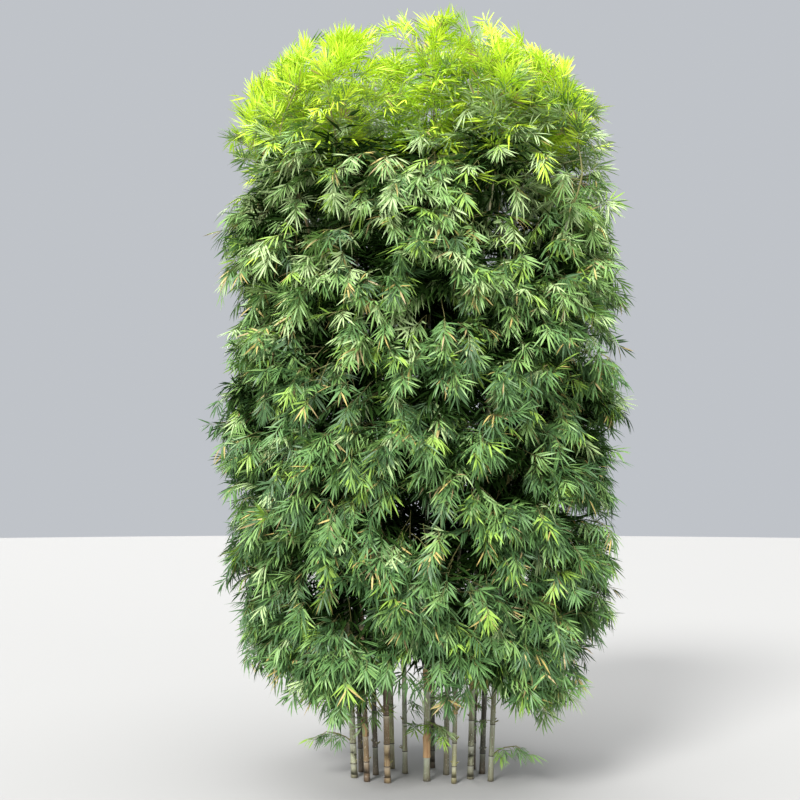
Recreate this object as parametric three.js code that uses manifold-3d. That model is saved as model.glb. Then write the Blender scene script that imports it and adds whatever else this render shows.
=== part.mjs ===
// A clump of hedge bamboo, rooted in the ground. Fifteen slender jointed culms rise from a narrow
// oval foot, lean apart as they climb and end in feathery plumes. Round them hang three tiers of
// drooping foliage, eight masses to a tier, and three low boughs stand out under the skirt.
// Millimetres and radians. +Z is up, -Y is the front, and the origin is the foot of the main culm.
import * as THREE from "three";
import { mergeVertices } from "three/addons/utils/BufferGeometryUtils.js";
import Module from "manifold-3d";

const wasm = await Module();
wasm.setup();

// The crown's outline: an oval barrel that narrows to a dome, and draws in between the masses
const domeTop = 4185;
const crownHalfWidth = 1300;
const crownHalfDepth = 1120;
const widestHeight = 2100;
const domeSharpness = 5.4;
const domeRoundness = 0.45;
const skirtNarrowing = 0.28;
const bulgeDepth = 0.09;
const bulgeHeight = 1910;
const bulgePitch = 920;
const narrowestShare = 0.05;

// The clump: the culms fan out from an oval foot to a wider oval of plumes
const clumpCentre = new THREE.Vector2(-25, 110);
const fanAcross = 2.2;
const fanDeep = 3.5;
const straightShare = 0.3;
const headTaper = 0.42;
const footFlare = 1.16;
const flareHeight = 60;
const ridgeSwell = 1.14;
const ridgeHalfHeight = 7;
const internodeGrowth = 32;
const longestInternode = 300;
const topInternode = 125;
const ridgedHeight = 480;
const plainRings = 5;
const culmSides = 6;

// Clearances between pieces that touch on the real plant, and round those that don't
const cutGap = 0.36;
const rootDepth = 5;
const cellMargin = 5;
const culmMargin = 9;
const neighbourMargin = 45;
const leanAllowance = 0.9;
const checksPerSpan = 5;
const weldDistance = 1e-4;
const sidewaysLimit = 0.9;

// Twigs and the blades that each stand for a spray of leaves
const stemRadius = 8;
const stemEndRadius = 6;
const stemSteps = 3;
const stemArch = 0.22;
const twigRadius = 5;
const twigEndRadius = 4.4;
const twigSides = 3;
const bladeLength = 560;
const bladeWidth = 215;
const bladeThickness = 7;
const bladeWidestShare = 0.3;
const ribShares = [0.3, 0.55, 0.8, 1];
const bladeTries = 20;
const bladeApart = 62;
const bladesFrom = 0.25;
const bladesTo = 0.985;
const bladeLengthShares = [1.1, 0.6];
const bladeWidthShares = [0.85, 1.1];
const bladeTurnJitter = 0.9;
const bladePitchJitter = 0.8;
const bladeRollJitter = 1.2;
const bladeEdgeSteps = 6;
const firstSpread = 1.15;

// Side foliage, from the skirt up: every other sector's masses hang higher than its neighbours'
const sectors = 8;
const tierFloors = [320, 1220, 2140, 3060];
const tierStagger = [90, 230, 230, 190];
const stemRootShare = 0.2;
const stemAimShare = 0.52;
const carrierAsideCost = 1.3;
const tuftRows = [
  { height: 0.3, pitches: [-0.25, -0.95] },
  { height: 0.74, pitches: [0.55, -0.35] },
];
const tuftSide = 0.24;
const tuftTurnJitter = 0.08;
const tuftHeightJitter = 0.14;
const tuftReaches = [0.64, 0.82];
const tuftRoots = [0.6, 0.96];
const tuftLean = 0.15;
const tuftFan = { spread: 1, count: 3, scale: 1 };
const sideStemFan = { spread: 1.3, pitches: [0.9, 0], count: 2, scale: 0.85 };

// Plumes at the culms' heads
const plumeStemShare = 0.62;
const plumeStemFit = 0.9;
const plumeEndRadius = 4;
const plumeFan = {
  spread: 1.5,
  pitches: [0.1, 1.3],
  count: 9,
  scale: 0.8,
  turnJitter: 3,
  pitchJitter: 1.3,
};

// Each culm: foot x and y, diameter at the foot, height of its first joint, height of its head,
// height of its plume's tip, finish
const culmRows = [
  [-390, 74, 35, 76, 2970, 3800, "palegreen"],
  [-357, 193, 29, 130, 3010, 3830, "dark"],
  [-319, -9, 31, 104, 3080, 3900, "tan"],
  [-275, 129, 30, 150, 3180, 4000, "dark"],
  [-209, -38, 33, 86, 3120, 3970, "tan"],
  [-187, 272, 30, 138, 3060, 3860, "olive"],
  [-115, 162, 29, 120, 3270, 4060, "palegreen"],
  [0, 0, 35, 126, 3230, 4040, "palegreen"],
  [38, 289, 30, 95, 3080, 3890, "dark"],
  [110, 134, 31, 156, 3370, 4150, "olive"],
  [143, -52, 26, 90, 3150, 3960, "olive"],
  [236, 43, 33, 72, 3290, 4090, "palegreen"],
  [264, 258, 29, 144, 3090, 3880, "dark"],
  [308, 158, 31, 110, 3200, 4000, "dark"],
  [341, -4, 29, 134, 3060, 3860, "palegreen"],
];

// Each low bough: name, its culm, height on the culm, direction in plan, reach, and rise of its tip
const lowBoughRows = [
  ["left", "culm_01", 180, 3.4, 120, 60],
  ["front", "culm_08", 284, 5.2, 105, 30],
  ["right", "culm_15", 134, 5.9, 110, 55],
];
const lowBoughRadius = 5.5;
const lowBoughEndRadius = 4.6;
const lowBoughSides = 5;
const lowFoliageEndRadius = 3.4;
const lowElbowShare = 0.25;
const lowFoliageReach = 115;
const lowFoliagePitch = -0.35;
const lowBladeScale = 0.36;
const lowFan = { spread: 1.3, pitches: [0, -0.5], count: 8, scale: lowBladeScale };

const finishes = {
  palegreen: { color: 0x9aa678, roughness: 0.5 },
  olive: { color: 0x8a8440, roughness: 0.5 },
  tan: { color: 0xb58a52, roughness: 0.55 },
  dark: { color: 0x3a3c30, roughness: 0.6 },
  twig: { color: 0x7c7a42, roughness: 0.65 },
  plume: { color: 0xa8cf3c, roughness: 0.5 },
  upper: { color: 0x6f9a45, roughness: 0.5 },
  middle: { color: 0x5c8a40, roughness: 0.5 },
  skirt: { color: 0x55843c, roughness: 0.5 },
};
const tierFinishes = ["skirt", "middle", "upper"];

// Where the random numbers of each kind of mass start
const tierSeeds = [1000, 1100, 1200];
const plumeSeed = 5000;
const lowSeed = 7000;

// Seeded random numbers from 0 to 1, the same in every run
function seededDraw(seed) {
  let state = seed >>> 0;
  return () => {
    state = (state + 0x6d2b79f5) >>> 0;
    let mixed = state;
    mixed = Math.imul(mixed ^ (mixed >>> 15), mixed | 1);
    mixed ^= mixed + Math.imul(mixed ^ (mixed >>> 7), mixed | 61);
    return ((mixed ^ (mixed >>> 14)) >>> 0) / 4294967296;
  };
}

const { lerp } = THREE.MathUtils;
const planPoint = (p) => new THREE.Vector2(p.x, p.y);
const planUnit = (angle) => new THREE.Vector2(Math.cos(angle), Math.sin(angle));

// A unit vector from a direction in plan and a pitch above the level
function heading(angle, pitch) {
  const level = Math.cos(pitch);
  return new THREE.Vector3(Math.cos(angle) * level, Math.sin(angle) * level, Math.sin(pitch));
}

// How much of the crown's full half-width it has at a height
function crownShare(height) {
  if (height > widestHeight) {
    const rise = Math.min((height - widestHeight) / (domeTop - widestHeight), 1);
    return (1 - rise ** domeSharpness) ** domeRoundness;
  }
  const drop = (widestHeight - height) / widestHeight;
  return 1 - skirtNarrowing * drop * drop;
}

// The outline draws in between the masses, which stand higher in every other sector
function bulgeShare(angle, height) {
  const round = Math.cos((sectors / 2) * angle);
  const upward = Math.cos((2 * Math.PI * (height - bulgeHeight)) / bulgePitch);
  return 1 - (bulgeDepth * (1 - round * upward)) / 2;
}

// How far out a point lies, as a share of the crown's outline in its direction at its height
function outlineShare(p) {
  const out = planPoint(p).sub(clumpCentre);
  const apart = Math.hypot(out.x / crownHalfWidth, out.y / crownHalfDepth);
  const bulge = bulgeShare(Math.atan2(out.y, out.x), p.z);
  return apart / Math.max(crownShare(p.z) * bulge, narrowestShare);
}

// The outline's radius in a direction at a height
function outlineRadius(angle, height) {
  const unit = planUnit(angle);
  const apart = Math.hypot(unit.x / crownHalfWidth, unit.y / crownHalfDepth);
  return (crownShare(height) * bulgeShare(angle, height)) / apart;
}

const culms = culmRows.map(([x, y, diameter, firstJoint, headHeight, tipHeight, finish], index) => ({
  name: "culm_" + String(index + 1).padStart(2, "0"),
  foot: new THREE.Vector2(x, y),
  head: new THREE.Vector3(
    clumpCentre.x + (x - clumpCentre.x) * fanAcross,
    clumpCentre.y + (y - clumpCentre.y) * fanDeep,
    headHeight,
  ),
  radius: diameter / 2,
  firstJoint,
  stemTop: lerp(headHeight, tipHeight, plumeStemShare),
  finish,
}));

// A culm's centre line: nearly straight at first, and leaning out more and more as it climbs.
// Past the head it is the centre line of the plume's stem.
function culmPoint(culm, height) {
  const share = height / culm.head.z;
  const bend = straightShare * share + (1 - straightShare) * share ** 3;
  return new THREE.Vector3(
    lerp(culm.foot.x, culm.head.x, bend),
    lerp(culm.foot.y, culm.head.y, bend),
    height,
  );
}

function culmRadius(culm, height) {
  const flare = 1 + (footFlare - 1) * Math.max(0, 1 - height / flareHeight);
  return culm.radius * lerp(1, headTaper, height / culm.head.z) * flare;
}

// Heights of a culm's joints: short internodes at the foot, longer ones above
function jointHeights(culm) {
  const heights = [];
  let internode = culm.firstJoint;
  for (let height = internode; height < culm.head.z - topInternode; height += internode) {
    heights.push(height);
    internode = Math.min(internode + internodeGrowth, longestInternode);
  }
  return heights;
}

function nearestJoint(culm, height) {
  return jointHeights(culm).reduce((best, h) =>
    Math.abs(h - height) < Math.abs(best - height) ? h : best,
  );
}

// A closed limb through points, with a radius at each: a prism whose rings are moved onto the line.
// The rings lie square to the line, or level, as a culm's do, so that its foot is cut flat.
function limbGeometry(points, radii, sides, level = false) {
  const rings = points.length;
  const corners = Array.from({ length: sides }, (_, i) => planUnit((2 * Math.PI * i) / sides));
  const geometry = new THREE.ExtrudeGeometry(new THREE.Shape(corners), {
    depth: rings - 1,
    steps: rings - 1,
    bevelEnabled: false,
  });
  const tangents = points.map((p, i) =>
    new THREE.Vector3()
      .subVectors(points[Math.min(i + 1, rings - 1)], points[Math.max(i - 1, 0)])
      .normalize(),
  );
  const side = new THREE.Vector3(1, 0, 0);
  if (Math.abs(tangents[0].x) > sidewaysLimit) side.set(0, 1, 0);
  const frames = tangents.map((tangent) => {
    if (level) tangent.set(0, 0, 1);
    side.addScaledVector(tangent, -side.dot(tangent)).normalize();
    return { u: side.clone(), v: new THREE.Vector3().crossVectors(tangent, side) };
  });
  const position = geometry.getAttribute("position");
  const moved = new THREE.Vector3();
  for (let i = 0; i < position.count; i += 1) {
    const ring = Math.round(position.getZ(i));
    moved
      .copy(points[ring])
      .addScaledVector(frames[ring].u, position.getX(i) * radii[ring])
      .addScaledVector(frames[ring].v, position.getY(i) * radii[ring]);
    position.setXYZ(i, moved.x, moved.y, moved.z);
  }
  return geometry;
}

function solidOf(geometry) {
  const bare = geometry.index ? geometry.toNonIndexed() : geometry.clone();
  bare.deleteAttribute("normal");
  bare.deleteAttribute("uv");
  const merged = mergeVertices(bare, weldDistance);
  return new wasm.Manifold(
    new wasm.Mesh({
      numProp: 3,
      vertProperties: merged.attributes.position.array,
      triVerts: new Uint32Array(merged.index.array),
    }),
  );
}

function geometryOf(solid) {
  const mesh = solid.getMesh();
  const geometry = new THREE.BufferGeometry();
  geometry.setAttribute("position", new THREE.BufferAttribute(mesh.vertProperties, 3));
  geometry.setIndex(new THREE.BufferAttribute(mesh.triVerts, 1));
  geometry.computeVertexNormals();
  return geometry;
}

const materials = Object.fromEntries(
  Object.entries(finishes).map(([name, look]) => [
    name,
    new THREE.MeshStandardMaterial({ name, metalness: 0, ...look }),
  ]),
);

function addMesh(group, name, geometry, finish) {
  const mesh = new THREE.Mesh(geometry, materials[finish]);
  mesh.name = name;
  group.add(mesh);
}

// A culm's rings: each joint near the foot is a ridge, and above the leaves hide them
function culmLimb(culm, extra = 0) {
  const heights = [0, flareHeight];
  const swells = [1, 1];
  for (const joint of jointHeights(culm)) {
    if (joint < ridgedHeight) {
      heights.push(joint - ridgeHalfHeight, joint, joint + ridgeHalfHeight);
      swells.push(1, ridgeSwell, 1);
    }
  }
  const plainFrom = heights[heights.length - 1];
  for (let ring = 1; ring <= plainRings; ring += 1) {
    heights.push(lerp(plainFrom, culm.head.z + extra, ring / plainRings));
    swells.push(1);
  }
  const points = heights.map((height) => culmPoint(culm, height));
  const radii = heights.map((height, i) => culmRadius(culm, height) * swells[i] + extra);
  return limbGeometry(points, radii, culmSides, true);
}

const grownCulms = new Map(culms.map((culm) => [culm, solidOf(culmLimb(culm, cutGap))]));

// True where a ball at p keeps clear of every culm and plume stem but the one left out
function clearOfCulms(p, radius, leftOut) {
  return culms.every((culm) => {
    if (culm === leftOut || p.z > culm.stemTop + culmMargin + radius) return true;
    const height = Math.min(p.z, culm.stemTop);
    const apart = planPoint(p).distanceTo(planPoint(culmPoint(culm, height)));
    return apart * leanAllowance > culmRadius(culm, height) * ridgeSwell + radius + culmMargin;
  });
}

// Points along a bent limb: out from the start, through the middle and on to the end
function bentLine(start, middle, end, steps) {
  return new THREE.QuadraticBezierCurve3(start, middle, end).getPoints(steps);
}

function limbIsClear(points, radius, leftOut) {
  const line = new THREE.CatmullRomCurve3(points).getPoints(points.length * checksPerSpan);
  return line.every((p) => clearOfCulms(p, radius, leftOut));
}

function distanceToLine(p, line) {
  const nearest = new THREE.Vector3();
  const distances = line.slice(1).map((end, i) => {
    new THREE.Line3(line[i], end).closestPointToPoint(p, true, nearest);
    return nearest.distanceTo(p);
  });
  return Math.min(...distances);
}

function alongBlade(blade, share) {
  return blade.root.clone().addScaledVector(blade.along, share * blade.length);
}

// A spray's blade: a flat, pointed form of four faces with a keel below, widest before its middle.
// A tetrahedron with corners one from each plane through its middle is reshaped: the upper two
// corners become the blade's sides, and the lower two its root and tip.
function bladeGeometry(blade) {
  const geometry = new THREE.TetrahedronGeometry(Math.sqrt(3));
  const position = geometry.getAttribute("position");
  const keelward = new THREE.Vector3().crossVectors(blade.across, blade.along);
  for (let i = 0; i < position.count; i += 1) {
    const end = position.getX(i);
    const isSide = position.getZ(i) > 0;
    const moved = alongBlade(blade, isSide ? bladeWidestShare : (end + 1) / 2)
      .addScaledVector(blade.across, isSide ? (end * blade.width) / 2 : 0)
      .addScaledVector(keelward, isSide ? -bladeThickness : 0);
    position.setXYZ(i, moved.x, moved.y, moved.z);
  }
  return geometry;
}

// True where a blade's edges and midrib stay in the mass's space, clear of every culm, and where
// it keeps apart from the mass's other blades and from the twigs that don't carry it
function bladeFits(blade, mass, carrier) {
  const tip = alongBlade(blade, 1);
  const widest = alongBlade(blade, bladeWidestShare);
  const left = widest.clone().addScaledVector(blade.across, blade.width / 2);
  const right = widest.clone().addScaledVector(blade.across, -blade.width / 2);
  const edges = [[blade.root, left], [left, tip], [blade.root, right], [right, tip], [widest, tip]];
  const edgesFit = edges.every(([from, to]) => {
    for (let step = 1; step <= bladeEdgeSteps; step += 1) {
      const p = from.clone().lerp(to, step / bladeEdgeSteps);
      if (!mass.space.holds(p) || !clearOfCulms(p, 0, mass.ownCulm)) return false;
    }
    return true;
  });
  if (!edgesFit) return false;
  const ribs = ribShares.map((share) => alongBlade(blade, share));
  return (
    ribs.every((p) => mass.ribs.every((rib) => rib.distanceTo(p) > mass.bladeApart)) &&
    ribs.every((p) =>
      mass.lines.every((line) => line === carrier || distanceToLine(p, line) > mass.bladeApart / 2),
    )
  );
}

// One blade for a place along a line, or nothing where none fits after a few tries
function growBlade(mass, line, fan, place) {
  const { draw } = mass;
  const { turnJitter = bladeTurnJitter, pitchJitter = bladePitchJitter } = fan;
  const share = (place + 1) / fan.count;
  const side = place % 2 ? 1 : -1;
  const root = new THREE.CatmullRomCurve3(line).getPoint(lerp(bladesFrom, bladesTo, share));
  for (let attempt = 0; attempt < bladeTries; attempt += 1) {
    const aside = side * fan.spread * (firstSpread - share) + (draw() - 0.5) * turnJitter;
    const pitch = lerp(fan.pitches[0], fan.pitches[1], share) + (draw() - 0.5) * pitchJitter;
    const along = heading(fan.angle + aside, pitch);
    const level = new THREE.Vector3(-along.y, along.x, 0).normalize();
    const blade = {
      root,
      along,
      across: level.applyAxisAngle(along, (draw() - 0.5) * bladeRollJitter),
      length: fan.scale * bladeLength * lerp(...bladeLengthShares, (attempt + draw()) / bladeTries),
      width: fan.scale * bladeWidth * lerp(...bladeWidthShares, draw()),
    };
    if (bladeFits(blade, mass, line)) return blade;
  }
  return null;
}

// Blades stand alternately left and right along a line, the last one straight on.
// A fan is {angle, spread, pitches: [first, last], count, scale}.
function growBlades(mass, line, fan) {
  for (let place = 0; place < fan.count; place += 1) {
    const blade = growBlade(mass, line, fan, place);
    if (!blade) continue;
    mass.blades.push(blade);
    mass.ribs.push(...ribShares.map((share) => alongBlade(blade, share)));
  }
}

// A mass of foliage: one stem, twigs from it to their tufts, and blades along them.
// Each twig is {from: share of the stem, target, fan}. A plume stands on its own culm.
function foliageSolid(plan) {
  const { stemLine, stemRadii, stemFan, twigs, space, draw, cutter } = plan;
  const stemCurve = new THREE.CatmullRomCurve3(stemLine);
  const grown = twigs
    .map(({ from, target, fan }) => ({ line: [stemCurve.getPoint(from), target], fan }))
    .filter(({ line }) => space.holds(line[1]) && limbIsClear(line, twigRadius, null));
  const lines = [stemLine, ...grown.map(({ line }) => line)];
  const { ownCulm = null, apart = bladeApart } = plan;
  const mass = { space, draw, lines, ownCulm, bladeApart: apart, blades: [], ribs: [] };
  grown.forEach(({ line, fan }) => growBlades(mass, line, fan));
  growBlades(mass, stemLine, stemFan);
  let solid = solidOf(limbGeometry(stemLine, stemRadii, twigSides));
  for (const { line } of grown) {
    solid = solid.add(solidOf(limbGeometry(line, [twigRadius, twigEndRadius], twigSides)));
  }
  for (const blade of mass.blades) {
    solid = solid.add(solidOf(bladeGeometry(blade)));
  }
  if (cutter) solid = solid.subtract(cutter);
  return solid.decompose().sort((a, b) => b.volume() - a.volume())[0];
}

function taper(from, to) {
  return Array.from({ length: stemSteps + 1 }, (_, i) => lerp(from, to, i / stemSteps));
}

// Sectors are wedges round the clump's centre; the even ones' masses hang higher
const sectorStep = (2 * Math.PI) / sectors;

function sectorAt(p) {
  const turn = Math.atan2(p.y - clumpCentre.y, p.x - clumpCentre.x);
  return (Math.round(turn / sectorStep) + sectors) % sectors;
}

function cellFloor(tier, sector) {
  return tierFloors[tier] + (sector % 2 ? -1 : 1) * tierStagger[tier];
}

function inSector(p, sector) {
  const out = planPoint(p).sub(clumpCentre);
  const angle = sector * sectorStep;
  const lean = Math.PI / 2 - sectorStep / 2;
  return (
    out.dot(planUnit(angle + lean)) > cellMargin && out.dot(planUnit(angle - lean)) > cellMargin
  );
}

// The space of a side mass: one sector, between its floor and its ceiling
function sectorSpace(sector, floor, ceiling) {
  return {
    holds: (p) =>
      p.z > floor + cellMargin &&
      p.z < ceiling - cellMargin &&
      inSector(p, sector) &&
      outlineShare(p) <= 1,
  };
}

// A stem climbs out of its joint before it levels off
function stemMiddle(start, aim) {
  const middle = start.clone().lerp(aim, 0.5);
  middle.z += stemArch * planPoint(start).distanceTo(planPoint(aim));
  return middle;
}

// The culm that best carries a stem in a direction at a height, with a clear way out
function carrierFor(angle, height, aim) {
  const unit = planUnit(angle);
  const ranked = culms
    .map((culm) => {
      const joint = nearestJoint(culm, height);
      const out = planPoint(culmPoint(culm, joint)).sub(clumpCentre);
      const aside = Math.abs(out.x * unit.y - out.y * unit.x);
      return { culm, joint, score: out.dot(unit) - carrierAsideCost * aside };
    })
    .sort((a, b) => b.score - a.score);
  return ranked.find(({ culm, joint }) => {
    const start = culmPoint(culm, joint);
    const line = bentLine(start, stemMiddle(start, aim), aim, stemSteps);
    return limbIsClear(line, stemRadius, culm);
  });
}

function crownPoint(angle, radius, height) {
  return new THREE.Vector3(
    clumpCentre.x + Math.cos(angle) * radius,
    clumpCentre.y + Math.sin(angle) * radius,
    height,
  );
}

function sideMass(tier, sector) {
  const draw = seededDraw(tierSeeds[tier] + sector);
  const angle = sector * sectorStep;
  const floor = cellFloor(tier, sector);
  const ceiling = cellFloor(tier + 1, sector);
  const aimHeight = lerp(floor, ceiling, stemAimShare);
  const aim = crownPoint(angle, stemAimShare * outlineRadius(angle, aimHeight), aimHeight);
  const { culm, joint } = carrierFor(angle, lerp(floor, ceiling, stemRootShare), aim);
  const start = culmPoint(culm, joint);
  const twigs = tuftRows.flatMap(({ height: rowShare, pitches }) =>
    [-1, 1].map((side) => {
      const turn = angle + (side * tuftSide + (draw() - 0.5) * tuftTurnJitter) * sectorStep;
      const height = lerp(floor, ceiling, rowShare + (draw() - 0.5) * tuftHeightJitter);
      const reach = lerp(...tuftReaches, draw()) * outlineRadius(turn, height);
      return {
        from: lerp(...tuftRoots, draw()),
        target: crownPoint(turn, reach, height),
        fan: { angle: turn + side * tuftLean, pitches, ...tuftFan },
      };
    }),
  );
  return foliageSolid({
    stemLine: bentLine(start, stemMiddle(start, aim), aim, stemSteps),
    stemRadii: taper(stemRadius, stemEndRadius),
    stemFan: { angle, ...sideStemFan },
    twigs,
    space: sectorSpace(sector, floor, ceiling),
    draw,
    cutter: grownCulms.get(culm),
  });
}

// The space of a plume: nearer to its own culm's head in plan than to any other, above the tiers
function plumeSpace(own) {
  const aboveTiers = (p) =>
    [-1, 0, 1].every((side) => {
      const aside = planPoint(p).sub(clumpCentre).normalize().multiplyScalar(neighbourMargin);
      const beside = new THREE.Vector3(p.x - side * aside.y, p.y + side * aside.x, p.z);
      return p.z > cellFloor(3, sectorAt(beside)) + cellMargin;
    });
  return {
    holds(p) {
      const place = planPoint(p);
      const apart = place.distanceTo(planPoint(own.head));
      const nearest = culms.every(
        (other) =>
          other === own || place.distanceTo(planPoint(other.head)) > apart + 2 * cellMargin,
      );
      return nearest && aboveTiers(p) && outlineShare(p) <= 1;
    },
  };
}

// A plume carries on from its culm's head along the same line, and blades stand all round it
function plumeMass(culm, index) {
  const draw = seededDraw(plumeSeed + index);
  const from = culm.head.z - rootDepth;
  const stemLine = Array.from({ length: stemSteps + 1 }, (_, i) =>
    culmPoint(culm, lerp(from, culm.stemTop, i / stemSteps)),
  );
  const out = planPoint(culm.head).sub(clumpCentre);
  const angle = Math.atan2(out.y, out.x);
  return foliageSolid({
    stemLine,
    stemRadii: taper(plumeStemFit * culmRadius(culm, culm.head.z), plumeEndRadius),
    stemFan: { angle, ...plumeFan },
    twigs: [],
    space: plumeSpace(culm),
    ownCulm: culm,
    draw,
    cutter: grownCulms.get(culm),
  });
}

// Low boughs under the skirt: a short limb from a joint near the ground, then a small mass
const lowBoughs = lowBoughRows.map(([name, culmName, height, angle, reach, rise]) => {
  const culm = culms.find((one) => one.name === culmName);
  const start = culmPoint(culm, nearestJoint(culm, height));
  const tip = start.clone().add(new THREE.Vector3(Math.cos(angle) * reach, Math.sin(angle) * reach, rise));
  const line = bentLine(start, stemMiddle(start, tip), tip, stemSteps);
  return { name, culm, angle, line };
});

function lowBoughSolid({ culm, line }) {
  const limb = limbGeometry(line, taper(lowBoughRadius, lowBoughEndRadius), lowBoughSides);
  return solidOf(limb).subtract(grownCulms.get(culm));
}

function lowMass({ line, angle }, index) {
  const draw = seededDraw(lowSeed + index);
  const tip = line[line.length - 1];
  const onward = tip.clone().sub(line[line.length - 2]).normalize();
  const start = tip.clone().addScaledVector(onward, cutGap);
  const elbow = start.clone().addScaledVector(onward, lowElbowShare * lowFoliageReach);
  const outerReach = (1 - lowElbowShare) * lowFoliageReach;
  const end = elbow.clone().addScaledVector(heading(angle, lowFoliagePitch), outerReach);
  const sector = sectorAt(tip);
  return foliageSolid({
    stemLine: [start, elbow, elbow.clone().lerp(end, 0.5), end],
    stemRadii: taper(lowBoughEndRadius, lowFoliageEndRadius),
    stemFan: { angle, ...lowFan },
    twigs: [],
    space: sectorSpace(sector, 0, cellFloor(0, sector)),
    draw,
    cutter: null,
    apart: bladeApart * lowBladeScale,
  });
}

const group = new THREE.Group();
group.name = "bamboo_clump";
for (const culm of culms) {
  addMesh(group, culm.name, culmLimb(culm), culm.finish);
}
lowBoughs.forEach((bough, index) => {
  addMesh(group, `low_bough_${bough.name}`, geometryOf(lowBoughSolid(bough)), "twig");
  addMesh(group, `low_foliage_${bough.name}`, geometryOf(lowMass(bough, index)), "skirt");
});
tierFinishes.forEach((finish, tier) => {
  for (let sector = 0; sector < sectors; sector += 1) {
    addMesh(group, `${finish}_foliage_${sector + 1}`, geometryOf(sideMass(tier, sector)), finish);
  }
});
culms.forEach((culm, index) => {
  const name = culm.name.replace("culm", "plume");
  addMesh(group, name, geometryOf(plumeMass(culm, index)), "plume");
});

export default group;
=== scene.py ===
"""Looks of a clump of hedge bamboo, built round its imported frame. Metres and radians.

The culms, stems and first twigs stand where the frame has them, by the same rule and the same
seeded draws. From them the rule is carried on to finer twigs, sprays and single leaves.
"""
import math

import bmesh
import bpy
import numpy as np
from mathutils import Matrix, Vector


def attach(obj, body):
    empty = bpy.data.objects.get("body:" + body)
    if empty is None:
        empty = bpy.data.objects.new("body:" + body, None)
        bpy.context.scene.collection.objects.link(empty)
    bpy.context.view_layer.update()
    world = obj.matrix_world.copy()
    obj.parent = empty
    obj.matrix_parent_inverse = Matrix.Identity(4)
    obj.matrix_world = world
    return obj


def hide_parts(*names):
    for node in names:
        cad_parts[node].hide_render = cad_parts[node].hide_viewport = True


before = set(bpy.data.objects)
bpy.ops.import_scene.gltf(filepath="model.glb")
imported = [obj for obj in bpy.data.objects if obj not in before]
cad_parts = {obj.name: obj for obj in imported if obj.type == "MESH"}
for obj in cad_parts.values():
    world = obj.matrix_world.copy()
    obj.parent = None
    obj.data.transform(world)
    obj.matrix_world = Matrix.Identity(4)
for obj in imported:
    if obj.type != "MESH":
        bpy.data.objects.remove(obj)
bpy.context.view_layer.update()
scene = bpy.context.scene

# The crown's outline: an oval barrel that narrows to a dome, and draws in between the masses
DOME_TOP = 4.185
CROWN_HALF_WIDTH = 1.300
CROWN_HALF_DEPTH = 1.120
WIDEST_HEIGHT = 2.100
DOME_SHARPNESS = 5.4
DOME_ROUNDNESS = 0.45
SKIRT_NARROWING = 0.28
BULGE_DEPTH = 0.09
BULGE_HEIGHT = 1.910
BULGE_PITCH = 0.920
NARROWEST_SHARE = 0.05

# The clump's culms
CENTRE = (-0.025, 0.110)
FAN_ACROSS = 2.2
FAN_DEEP = 3.5
STRAIGHT_SHARE = 0.3
HEAD_TAPER = 0.42
FOOT_FLARE = 1.16
FLARE_HEIGHT = 0.060
RIDGE_SWELL = 1.14
INTERNODE_GROWTH = 0.032
LONGEST_INTERNODE = 0.300
TOP_INTERNODE = 0.125
CULM_MARGIN = 0.009
LEAN_ALLOWANCE = 0.9
PLUME_STEM_SHARE = 0.62

# Stems, twigs and the cells that they fill, as in the frame. The stems that show are thinner.
FRAME_STEM_RADIUS = 0.008
STEM_RADII = (0.0055, 0.0048, 0.0042, 0.0034)
STEM_STEPS = 3
STEM_ARCH = 0.22
STEM_ROOT_SHARE = 0.2
STEM_AIM_SHARE = 0.52
ASIDE_COST = 1.3
CHECKS_PER_POINT = 6
LINE_END = 0.9999
SECTORS = 8
SECTOR_STEP = 2 * math.pi / SECTORS
TIER_FLOORS = (0.320, 1.220, 2.140, 3.060)
TIER_STAGGER = (0.090, 0.230, 0.230, 0.190)
TIERS = ("skirt", "middle", "upper")
TIER_SEEDS = (1000, 1100, 1200)
TUFT_ROWS = (0.3, 0.74)
TUFT_SIDE = 0.24
TUFT_TURN_JITTER = 0.08
TUFT_HEIGHT_JITTER = 0.14
TUFT_REACHES = (0.64, 0.82)
TUFT_ROOTS = (0.6, 0.96)
FIRST_TWIG_RADII = (0.0030, 0.0018)

# Each culm: foot x and y, diameter, heights of its first joint, its head and its plume's tip, finish
CULM_ROWS = (
    (-0.390, 0.074, 0.035, 0.076, 2.97, 3.80, "palegreen"),
    # This culm's dark finish is partly painted shade: it is as dark as the shade that it stands in.
    (-0.357, 0.193, 0.029, 0.130, 3.01, 3.83, "dark"),
    (-0.319, -0.009, 0.031, 0.104, 3.08, 3.90, "tan"),
    (-0.275, 0.129, 0.030, 0.150, 3.18, 4.00, "dark"),
    (-0.209, -0.038, 0.033, 0.086, 3.12, 3.97, "tan"),
    (-0.187, 0.272, 0.030, 0.138, 3.06, 3.86, "olive"),
    (-0.115, 0.162, 0.029, 0.120, 3.27, 4.06, "palegreen"),
    (0.0, 0.0, 0.035, 0.126, 3.23, 4.04, "palegreen"),
    (0.038, 0.289, 0.030, 0.095, 3.08, 3.89, "dark"),
    (0.110, 0.134, 0.031, 0.156, 3.37, 4.15, "olive"),
    (0.143, -0.052, 0.026, 0.090, 3.15, 3.96, "olive"),
    (0.236, 0.043, 0.033, 0.072, 3.29, 4.09, "palegreen"),
    (0.264, 0.258, 0.029, 0.144, 3.09, 3.88, "dark"),
    (0.308, 0.158, 0.031, 0.110, 3.20, 4.00, "dark"),
    (0.341, -0.004, 0.029, 0.134, 3.06, 3.86, "palegreen"),
)

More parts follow.
